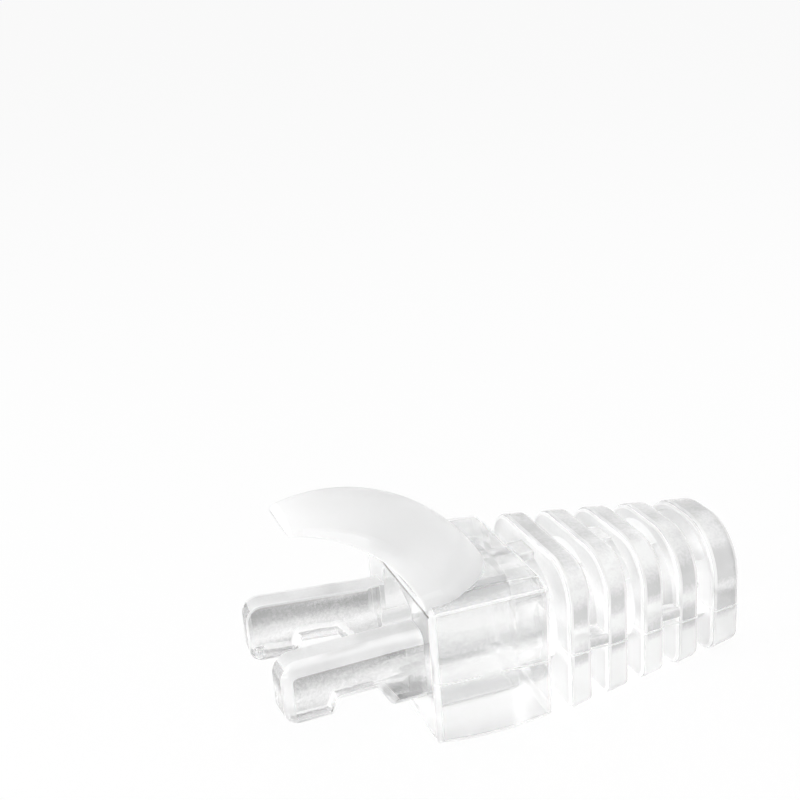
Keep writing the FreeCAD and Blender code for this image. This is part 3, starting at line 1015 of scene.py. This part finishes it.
@dataclass(frozen=True)
class MouldedSurfaceAndPaintedLight:
    """The relief of a polished mould, and a mask of milk and painted light, as a node group.

    The mask is a wave in height above the cable's axis, bent by slow noise, from 0 in the bands
    of painted shade to 1 between them. Random clouds of milk and fine specks of painted glint stir
    it, it falls toward the rear and rises low down as a painted reflection of the pale floor. Height
    is a slow swell plus a fine pitting, stronger where the mask is low.
    """

    name: str = "moulded_surface_and_painted_light"
    flow: Triple = (0.2, 0.6, 1.0)
    # Period in height of the bands of painted shade.
    shade_band: float = 3.9
    band_phase: float = -0.6
    bend: float = 1.7
    swell_scale: float = 260.0
    swell_detail: float = 2.0
    cloud: float = 1.6
    cloud_scale: float = 650.0
    cloud_detail: float = 4.0
    pit_scale: float = 4600.0
    pit_detail: float = 3.0
    # Strength of the painted glints, fine specks in the mask.
    glint_strength: float = 0.9
    # The mask falls toward the rear, between these two places, by the third, which darkens most finishes
    # there.
    rear_start: float = 19.0
    rear_end: float = 27.5
    rear_fall: float = 0.75
    # Painted reflection of the pale floor: the mask rises low down, between these two heights, by the third.
    low_start: float = -1.6
    low_end: float = -2.8
    low_floor_reflection: float = 1.0

    def make(self) -> bpy.types.NodeTree:
        """Build the group.

        Returns:
            The group, with its place and depths as inputs and its height and its mask of milk and painted
            light as outputs.
        """
        tree = bpy.data.node_groups.new(self.name, "ShaderNodeTree")
        for name, kind in (("Place", "Vector"), ("Swell", "Float"), ("Pitting", "Float")):
            tree.interface.new_socket(name, in_out="INPUT", socket_type="NodeSocket" + kind)
        for name in ("Height", "MilkAndPaintedLight"):
            tree.interface.new_socket(name, in_out="OUTPUT", socket_type="NodeSocketFloat")
        board = Board(tree)
        given = board.add("NodeGroupInput").outputs
        apart = board.add("SeparateXYZ", {0: given["Place"]}).outputs
        flow = board.add("Mapping", {"Vector": given["Place"], "Scale": self.flow}).outputs[0]
        slow = board.noise(flow, self.swell_scale, self.swell_detail)
        # Bands of painted shade: a wave in height, bent by the slow noise.
        turns = board.work("MULTIPLY", apart["Z"], 2 * math.pi / (self.shade_band * MM))
        bend = board.ramp(slow, self.band_phase - self.bend, self.band_phase + self.bend)
        wave = board.work("COSINE", board.work("ADD", turns, bend))
        shade_band = board.ramp(wave, 0.0, 1.0, -1.0, 1.0)
        cloudy = board.noise(flow, self.cloud_scale, self.cloud_detail)
        cloud = board.work("MULTIPLY_ADD", cloudy, self.cloud, -self.cloud / 2)
        rear = board.ramp(apart["X"], 0.0, self.rear_fall, self.rear_start * MM, self.rear_end * MM)
        # Painted reflection of the pale floor on faces low down.
        low = board.ramp(apart["Z"], 0.0, self.low_floor_reflection, self.low_start * MM, self.low_end * MM)
        # Random clouds of milk, with the painted floor reflection, less the fall toward the rear.
        milk_and_floor_reflection = board.work("ADD", cloud, board.work("SUBTRACT", low, rear))
        pits = board.noise(given["Place"], self.pit_scale, self.pit_detail)
        # Painted glints: fine specks, lighter and darker, in the mask.
        painted_glints = board.work("MULTIPLY_ADD", pits, self.glint_strength, -self.glint_strength / 2)
        # The mask: bands of painted shade, clouds of milk, painted floor reflection and painted glints.
        milk_and_painted_light = board.work("ADD", board.work("ADD", shade_band, milk_and_floor_reflection), painted_glints, use_clamp=True)
        worn = board.work("MULTIPLY", given["Pitting"], board.work("SUBTRACT", 1.0, milk_and_painted_light))
        height = board.work("MULTIPLY_ADD", slow, given["Swell"], board.work("MULTIPLY", pits, worn))
        board.add("NodeGroupOutput", {"Height": height, "MilkAndPaintedLight": milk_and_painted_light})
        return tree


@dataclass(frozen=True)
class MouldedClear:
    """Clear soft plastic: mostly glass, a little milk, the relief of its mould, and painted light and shade
    in its colour.

    Low_mask_tint and smooth hold where the mask is low, in the bands of painted shade;
    high_mask_tint and hazy where it is high, in milk, painted reflection and painted glints;
    rim_highlight_tint, a painted highlight, and rim_haze hold on small rounded edges. In the finish
    for faces turned to the light, the low tint paints light and the high tint grey shade.
    """

    name: str = "clear"
    # Colour in the bands of painted shade, where the mask is low.
    low_mask_tint: Triple = (0.58, 0.585, 0.585)
    # Colour where the mask is high: milk, painted reflection and painted glints.
    high_mask_tint: Triple = (0.97, 0.97, 0.97)
    smooth: float = 0.06
    hazy: float = 0.16
    transmission: float = 0.76
    ior: float = 1.46
    swell: float = 1.0
    pitting: float = 0.8
    relief: float = 0.02
    # Painted highlight: the colour that small rounded edges are whitened to.
    rim_highlight_tint: float = 1.0
    rim_haze: float = 0.3

    def make(self, surface: bpy.types.NodeTree) -> bpy.types.Material:
        """Build the finish as a material.

        Args:
            surface: The group that gives the mould's relief and the mask of milk and painted light.

        Returns:
            The material. Lamp rays pass through it, so its shadow stays light.
        """
        material = bpy.data.materials.new(self.name)
        material.use_nodes = True
        board = Board(material.node_tree)
        place = board.add("TexCoord").outputs["Object"]
        depths = {"Place": place, "Swell": self.swell, "Pitting": self.pitting}
        relief_and_light = board.add("Group", depths, node_tree=surface).outputs
        # Painted highlight on small rounded edges, mixed into the colour below.
        rim_highlight = board.add("Attribute", attribute_name="rim_highlight").outputs["Fac"]
        # The colour mixes from the painted shade of the bands to milk and painted light, by the mask.
        tints = {"Factor": relief_and_light["MilkAndPaintedLight"], 6: (*self.low_mask_tint, 1.0), 7: (*self.high_mask_tint, 1.0)}
        tint = board.add("Mix", tints, data_type="RGBA").outputs[2]
        edges = {"Factor": rim_highlight, 6: tint, 7: grey(self.rim_highlight_tint)}
        rough = board.ramp(relief_and_light["MilkAndPaintedLight"], self.smooth, self.hazy)
        bump = board.add("Bump", {"Distance": self.relief * MM, "Height": relief_and_light["Height"]})
        shader = board.add(
            "BsdfPrincipled",
            {
                "Base Color": board.add("Mix", edges, data_type="RGBA").outputs[2],
                "Roughness": board.ramp(rim_highlight, rough, self.rim_haze),
                "Normal": bump.outputs[0],
                "IOR": self.ior,
                "Transmission Weight": self.transmission,
            },
        )
        shadow = board.add("LightPath").outputs["Is Shadow Ray"]
        through = board.add("BsdfTransparent")
        both = board.add("MixShader", {0: shadow, 1: shader.outputs[0], 2: through.outputs[0]})
        board.add("OutputMaterial", {"Surface": both.outputs[0]})
        log.info("finish: %s", self.name)
        return material


FINISHES = (
    MouldedClear(),
    # Darker painted shade in its bands than the clear finish, and more see-through.
    MouldedClear(name="polished", low_mask_tint=(0.42, 0.42, 0.42), transmission=0.85),
    MouldedClear(
        name="milky", low_mask_tint=(0.6, 0.6, 0.6), smooth=0.16, hazy=0.18, transmission=0.62,
        rim_highlight_tint=0.92, rim_haze=0.17,
    ),
    MouldedClear(
        name="frosted", low_mask_tint=(0.95, 0.95, 0.95), smooth=0.4, hazy=0.5, transmission=0.4,
        swell=0.5, pitting=0.1,
    ),
    MouldedClear(
        name="inner", low_mask_tint=(0.93, 0.93, 0.93), smooth=0.05, hazy=0.1, transmission=0.85, pitting=0.3
    ),
    # Painted light and shade for faces turned to the light: light in the bands, grey painted shade between
    # them and low down.
    MouldedClear(
        name="painted_light_facing", low_mask_tint=(0.93, 0.93, 0.93), high_mask_tint=(0.77, 0.77, 0.77), smooth=0.3,
        hazy=0.4, transmission=0.52, pitting=0.3,
    ),
)


@dataclass
class ViewCamera:
    """The camera: where it looks, from which side and how far away."""

    aim: Triple = (3.16, 5.03, 16.80)
    azimuth: float = -19.38
    elevation: float = 20.78
    roll: float = -4.34
    distance: float = 95.0
    lens: float = 57.4
    sensor: float = 36.0
    near: float = 5.0
    far: float = 10000.0

    def place(self) -> None:
        """Create the camera, turn it to its aim point and make it the scene's camera."""
        turn = math.radians(self.azimuth)
        rise = math.radians(self.elevation)
        back = Vector((math.sin(turn) * math.cos(rise), -math.cos(turn) * math.cos(rise), math.sin(rise)))
        level = (-back).to_track_quat("-Z", "Y").to_matrix()
        data = bpy.data.cameras.new("view_camera")
        data.lens = self.lens
        data.sensor_width = self.sensor
        data.clip_start = self.near * MM
        data.clip_end = self.far * MM
        camera = bpy.data.objects.new("view_camera", data)
        camera.rotation_mode = "QUATERNION"
        camera.location = (Vector(self.aim) + back * self.distance) * MM
        tilt = Matrix.Rotation(math.radians(self.roll), 3, "Z")
        camera.rotation_quaternion = (level @ tilt).to_quaternion()
        show(camera)
        bpy.context.scene.camera = camera


@dataclass
class Studio:
    """A plain pale floor, a soft tent of light and two soft lamps that face the origin.

    The tent's wall darkens to the level gap as the dot product of the ray's direction and
    gap_way goes from gap_start to gap_end. A lamp is its name, place, size and power in watts.
    """

    floor_reach: float = 3000.0
    floor_color: float = 0.93
    floor_glow: float = 0.85
    tent: float = 0.7
    gap: float = 0.3
    gap_way: Triple = (0.55, -0.62, 0.56)
    gap_start: float = 0.25
    gap_end: float = 0.95
    lamps: tuple[tuple[str, Triple, float, float], ...] = (
        ("key_lamp", (-260.0, -60.0, 130.0), 220.0, 0.53),
        ("fill_lamp", (180.0, -60.0, 160.0), 160.0, 0.12),
    )

    def seen(self, board: Board) -> Socket:
        """One for the rays that show the surroundings, straight, mirrored or through the plastic."""
        ray = board.add("LightPath").outputs
        return board.work(
            "MAXIMUM",
            board.work("MAXIMUM", ray["Is Camera Ray"], ray["Is Glossy Ray"]),
            ray["Is Transmission Ray"],
        )

    def lay_floor(self) -> None:
        """Lay a flat pale floor under the boot's lowest point."""
        low = CAD_BOX[0].z
        reach = self.floor_reach * MM
        mesh = bpy.data.meshes.new("floor")
        corners = [(-reach, -reach, low), (reach, -reach, low), (reach, reach, low), (-reach, reach, low)]
        mesh.from_pydata(corners, [], [(0, 1, 2, 3)])
        floor = bpy.data.objects.new("floor", mesh)
        show(floor)
        material = bpy.data.materials.new("pale_floor")
        material.use_nodes = True
        board = Board(material.node_tree)
        diffuse = board.add("BsdfDiffuse", {"Color": grey(self.floor_color)})
        share = board.work("MULTIPLY", self.seen(board), self.floor_glow)
        glow = board.add("Emission")
        both = board.add("MixShader", {0: share, 1: diffuse.outputs[0], 2: glow.outputs[0]})
        board.add("OutputMaterial", {"Surface": both.outputs[0]})
        mesh.materials.append(material)

    def light(self) -> None:
        """Raise the tent, white where the camera looks straight at it, and hang the lamps."""
        world = bpy.data.worlds.new("tent")
        bpy.context.scene.world = world
        world.use_nodes = True
        board = Board(world.node_tree)
        way = board.add("TexCoord").outputs["Generated"]
        toward = board.add("VectorMath", {0: way, 1: self.gap_way}, operation="DOT_PRODUCT").outputs["Value"]
        smooth = {"interpolation_type": "SMOOTHSTEP"}
        wall = board.ramp(toward, 1.0, self.gap, self.gap_start, self.gap_end, **smooth)
        strength = board.ramp(self.seen(board), self.tent, wall)
        white = board.ramp(board.add("LightPath").outputs["Is Camera Ray"], strength, 1.0)
        air = board.add("Background", {"Color": grey(1.0), "Strength": white})
        board.add("OutputWorld", {"Surface": air.outputs[0]})
        for name, place, size, power in self.lamps:
            data = bpy.data.lights.new(name, "AREA")
            data.energy = power
            data.size = size * MM
            lamp = bpy.data.objects.new(name, data)
            lamp.location = Vector(place) * MM
            lamp.rotation_mode = "QUATERNION"
            lamp.rotation_quaternion = (-Vector(place)).to_track_quat("-Z", "Y")
            show(lamp)


def main() -> None:
    """Build the boot's looks, the studio and the camera."""
    logging.basicConfig(level=logging.INFO, format="%(name)s: %(message)s")
    surface = MouldedSurfaceAndPaintedLight().make()
    for finish in FINISHES:
        finish.make(surface)
    boot = Boot().build()
    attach(boot, "root")
    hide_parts("strain_relief_boot")
    studio = Studio()
    studio.lay_floor()
    studio.light()
    ViewCamera().place()
    bpy.context.scene.view_settings.view_transform = "Standard"


if __name__ == "__main__":
    main()
